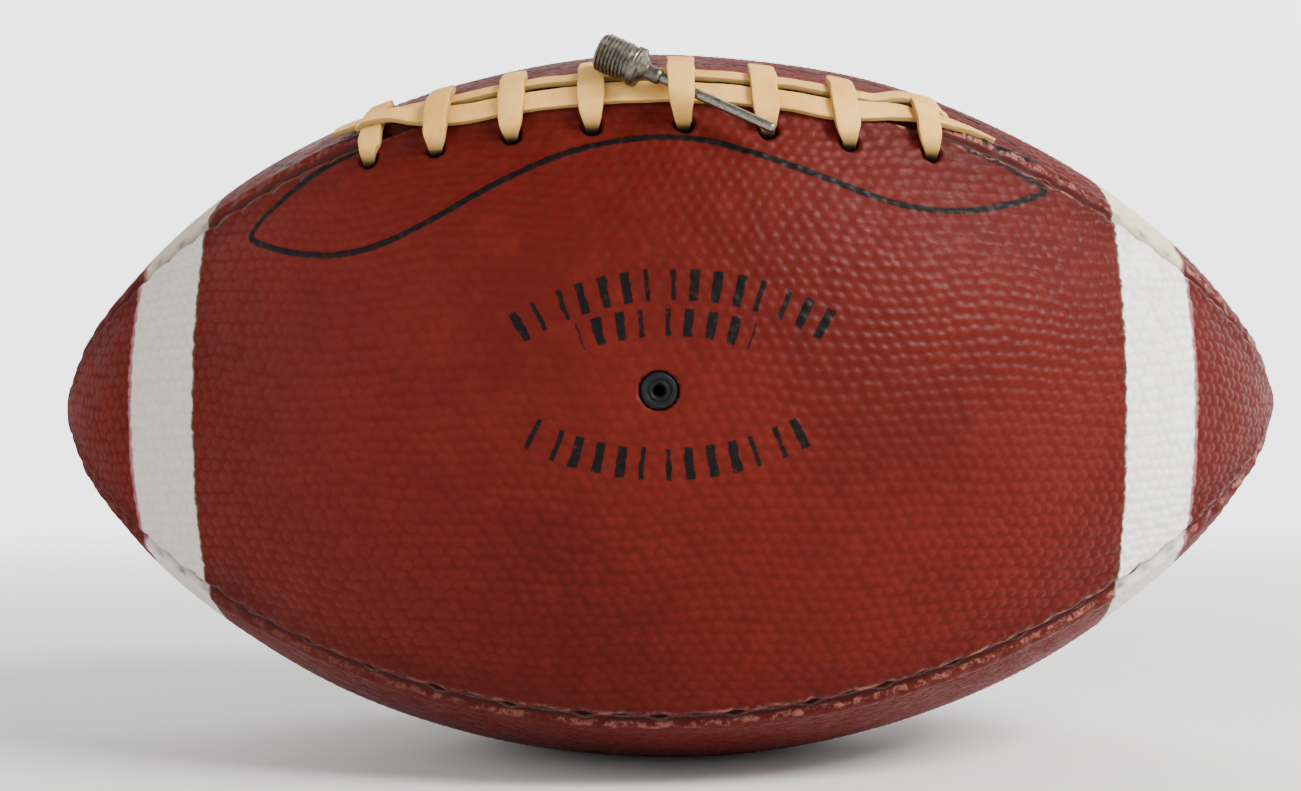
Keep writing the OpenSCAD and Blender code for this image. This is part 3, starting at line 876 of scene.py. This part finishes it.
def lower_ends(x, h, width):
    # over the first crossbar on the left; a long pointed tip on the right
    h = h + 1.7 * smooth(-x, 46.5, 54.0) - 0.8 * smooth(-x, 59.0, 61.5)
    return h, width * (1 - 0.12 * smooth(-x, 58.5, 61)) * (1 - 0.86 * smooth(x, 59.5, 70.5))


lace_piece("lace_crossbar_turns", "lace_crossbars", [crossbar(i, x) for i, x in enumerate(LACE_X)])
lace_piece("lace_strand_upper_run", "lace_strand_upper", [strand(-1, -67.5, 60.5, 1, upper_ends)])
lace_piece("lace_strand_lower_run", "lace_strand_lower", [strand(1, -61.0, 70.5, 2, lower_ends)])


# ---------------------------------------------------------------- valve
def revolve(profile, n=96):
    """Rings from a profile of [radius, height] pairs turned about Z."""
    b = np.linspace(0, 2 * np.pi, n, endpoint=False)
    p = np.asarray(profile, float)
    return np.stack([p[:, :1] * np.cos(b), p[:, :1] * np.sin(b), p[:, 1:] + 0 * b], -1)


def place(rings, origin, zdir, xdir):
    """Moves rings so that their Z points along zdir from the origin given."""
    z = np.asarray(zdir, float) / np.linalg.norm(zdir)
    x = np.asarray(xdir, float)
    x = unit(x - z * (x @ z))
    y = np.cross(z, x)
    return origin + rings[..., :1] * x + rings[..., 1:2] * y + rings[..., 2:] * z


# channel, raised ring round it, face, side, flange inside the bladder, neck
housing = [[1.12, 12.4], [1.12, 3.2], [1.12, 1.2], [1.3, 0.75], [1.55, 0.45], [1.72, 0.42], [1.95, 0.55],
           [2.1, 0.72], [2.25, 0.68], [2.38, 0.5], [2.5, 0.36], [2.8, 0.28], [3.15, 0.3],
           [VALVE_R - 0.15, 0.42], [VALVE_R, 0.75], [VALVE_R, 5.7],
           [11.5, 6.6], [11.5, 7.1], [5.5, 7.4], [4.5, 8.4], [4.2, 13.2], [1.2, 13.2]]
rings = place(revolve(housing), np.array([VALVE[0], -PANEL_R, VALVE[1]]), [0, 1, 0], [1, 0, 0])
dress(link("valve_rubber_body", make_mesh("valve_rubber_body", [(rings, True, False)])),
      RUBBER, "valve_housing")

# ---------------------------------------------------------------- needle
def needle_head():
    """Threaded end, knurled collar, cone and nose, with the air hole through them."""
    n = 120
    thread_end, collar, collar_end, cone_end, nose, nose_end = 7.0, 7.4, 8.9, 10.6, 13.0, 13.6
    pitch, depth, root, cone_r, nose_r = 0.8, 0.5, THREAD_R - 0.6, 3.15, 1.6
    b = np.linspace(0, 2 * np.pi, n, endpoint=False)
    z = np.concatenate([np.linspace(0, 0.25, 3), np.linspace(0.25, thread_end, 110),
                        np.linspace(thread_end + 0.05, collar - 0.05, 4), np.linspace(collar, collar_end, 28),
                        np.linspace(collar_end + 0.05, cone_end, 10), np.linspace(cone_end + 0.1, nose, 8),
                        np.linspace(nose + 0.1, nose_end, 4)])
    Z, B = np.meshgrid(z, b, indexing="ij")
    saw = np.abs(np.mod(Z / pitch - B / (2 * np.pi), 1.0) * 2 - 1)
    thread = THREAD_R - depth * (1 - smooth(saw, 0.15, 0.85))
    fade = smooth(Z, 0.1, 0.7) * (1 - smooth(Z, 6.3, 6.9))
    r = (THREAD_R - 0.45) * (1 - fade) + thread * fade
    r = np.where(Z < 0.25, root + 0.6 * Z, r)
    r = np.where(Z > thread_end, root, r)
    knurl = 0.13 * (np.cos(B * 26 + Z * 4.4) * np.cos(B * 26 - Z * 4.4))
    knurl = knurl * smooth(Z, collar, collar + 0.2) * (1 - smooth(Z, collar_end - 0.2, collar_end))
    r = np.where(Z >= collar, THREAD_R + 0.03 + knurl, r)
    run = (Z - collar_end - 0.05) / (cone_end - collar_end - 0.05)
    r = np.where(Z > collar_end + 0.02, cone_r + (nose_r - cone_r) * run, r)
    r = np.where(Z > cone_end, nose_r, r)
    r = np.where(Z > nose, nose_r - 0.5 * (Z - nose), r)
    outer = np.stack([r * np.cos(B), r * np.sin(B), Z], -1)
    inner = revolve([[1.02, nose_end], [1.02, 1.6], [1.0, 1.2], [2.3, 0.6], [2.4, 0.0]], n)
    return np.concatenate([outer, inner, outer[:1]], 0)


def needle_tube():
    """The thin tube, rounded at its end, with a side port near it."""
    z = np.concatenate([np.linspace(1.5, NEEDLE_LEN - 4.6, 90),
                        np.linspace(NEEDLE_LEN - 4.5, NEEDLE_LEN - 1.0, 50),
                        NEEDLE_LEN - np.array([0.8, 0.55, 0.32, 0.14, 0.04, 0.0])])
    Z, B = np.meshgrid(z, np.linspace(0, 2 * np.pi, 40, endpoint=False), indexing="ij")
    tail = np.clip((Z - (NEEDLE_LEN - 0.8)) / 0.8, 0, 1)
    r = TUBE_R * np.sqrt(np.clip(1 - 0.82 * tail**2, 0, 1))
    port_z, port_angle = NEEDLE_LEN - 3.2, 1.2
    turn = np.mod(B - port_angle + np.pi, 2 * np.pi) - np.pi
    from_port = np.hypot((Z - port_z) / 0.75, turn * TUBE_R / 0.42)
    r = r - 0.45 * (1 - smooth(from_port, 0.75, 1.1))
    return np.stack([r * np.cos(B), r * np.sin(B), Z], -1)


ndir = unit(TIP - MID)
back_end = TIP - NEEDLE_LEN * ndir + np.array([0, 0, REST])
for name, rings, capped, mat, slot, node in (
        ("needle_threaded_head", needle_head(), False, NICKEL, "needle_metal", "needle_head"),
        ("needle_hollow_tube", needle_tube(), True, TUBE, "tube_metal", "needle_tube")):
    rings = place(rings, back_end, ndir, unit(np.cross([0, 0, 1.0], ndir)))
    dress(link(name, make_mesh(name, [(rings, True, capped)])), mat, node, "needle")

# ---------------------------------------------------------------- floor, light, camera
FLOOR_R, BEND_R, WALL_TOP = 1300, 900, 1300
sweep = [[0.001, 0.0]] + [[r, 0.0] for r in (200, 500, 900, FLOOR_R)]
sweep += [[FLOOR_R + BEND_R * math.sin(math.radians(v)), BEND_R - BEND_R * math.cos(math.radians(v))]
          for v in range(10, 91, 10)]
sweep += [[FLOOR_R + BEND_R, WALL_TOP]]
floor = link("floor_and_sweep", make_mesh("floor_and_sweep", [(revolve(sweep), True, False)]))
floor_mat = material("floor_pale")
fn = Nodes(floor_mat)
fn.put(fn.p.inputs["Base Color"], (0.86, 0.86, 0.86))
fn.put(fn.p.inputs["Roughness"], 0.9)
fn.put(fn.p.inputs["Specular IOR Level"], 0.1)
# the sweep glows, more with distance and more behind the ball
fx, fy, _ = fn.xyz()
away = fn.math("SQRT", fn.add(fn.mul(fx, fx), fn.mul(fy, fy)))
fn.put(fn.p.inputs["Emission Color"], (1.0, 1.0, 1.0))
glow = fn.mul(fn.step(away, 150.0, FLOOR_R), fn.step(fy, -900.0, 900.0, 0.2, 2.0))
fn.put(fn.p.inputs["Emission Strength"], glow)
floor.data.materials.append(floor_mat)

world = bpy.data.worlds.new("studio")
bpy.context.scene.world = world
world.use_nodes = True
sky_colour, sky_strength = world.node_tree.nodes["Background"].inputs[:2]
sky_colour.default_value = (1.0, 1.0, 1.0, 1)
sky_strength.default_value = 0.3


def area(name, where, to, size, power, colour=(1, 1, 1)):
    """A rectangular light; places and sizes in metres."""
    light = bpy.data.lights.new(name, "AREA")
    light.shape = "RECTANGLE"
    light.size, light.size_y = size
    light.energy = power
    light.color = colour
    o = link(name, light)
    o.location = where
    o.rotation_euler = (Vector(to) - Vector(where)).to_track_quat("-Z", "Y").to_euler()


centre = (0, 0, REST * 0.001)
area("key", (0.75, -0.55, 0.75), centre, (0.5, 0.4), 24.0, (1.0, 0.98, 0.95))
area("fill", (-0.7, -0.75, 0.45), centre, (0.6, 0.6), 2.0, (0.96, 0.98, 1.0))
area("rim", (0.15, 0.5, 0.9), centre, (0.9, 0.3), 3.0)

# the camera is close and nearly level, and turned a little to the right of the valve panel
CAM_DIST, LENS, SENSOR = 0.450, 53.4881, 36.0
YAW, LIFT, ROLL = (math.radians(v) for v in (2.04, -0.70, -0.344))
# the ball sits a little right of and below the middle of the picture: parts of the camera's distance
OFF_RIGHT, OFF_DOWN = 0.006596, 0.0055096
behind = Vector((math.sin(YAW) * math.cos(LIFT), -math.cos(YAW) * math.cos(LIFT), math.sin(LIFT)))
level_right = Vector((math.cos(YAW), math.sin(YAW), 0))
level_up = behind.cross(level_right)
right = math.cos(ROLL) * level_right + math.sin(ROLL) * level_up
up = -math.sin(ROLL) * level_right + math.cos(ROLL) * level_up
where = Vector(centre) + CAM_DIST * behind
aim = Vector(centre) - CAM_DIST * OFF_RIGHT * right + CAM_DIST * OFF_DOWN * up
look = (where - aim).normalized()
side = (right - look * right.dot(look)).normalized()
cam = bpy.data.cameras.new("camera")
cam.sensor_width, cam.lens, cam.clip_start = SENSOR, LENS, 0.01
cam_o = link("camera", cam)
axes = (side, look.cross(side), look, where)
cam_o.matrix_world = Matrix([[v[i] for v in axes] for i in range(3)] + [[0, 0, 0, 1]])
bpy.context.scene.camera = cam_o
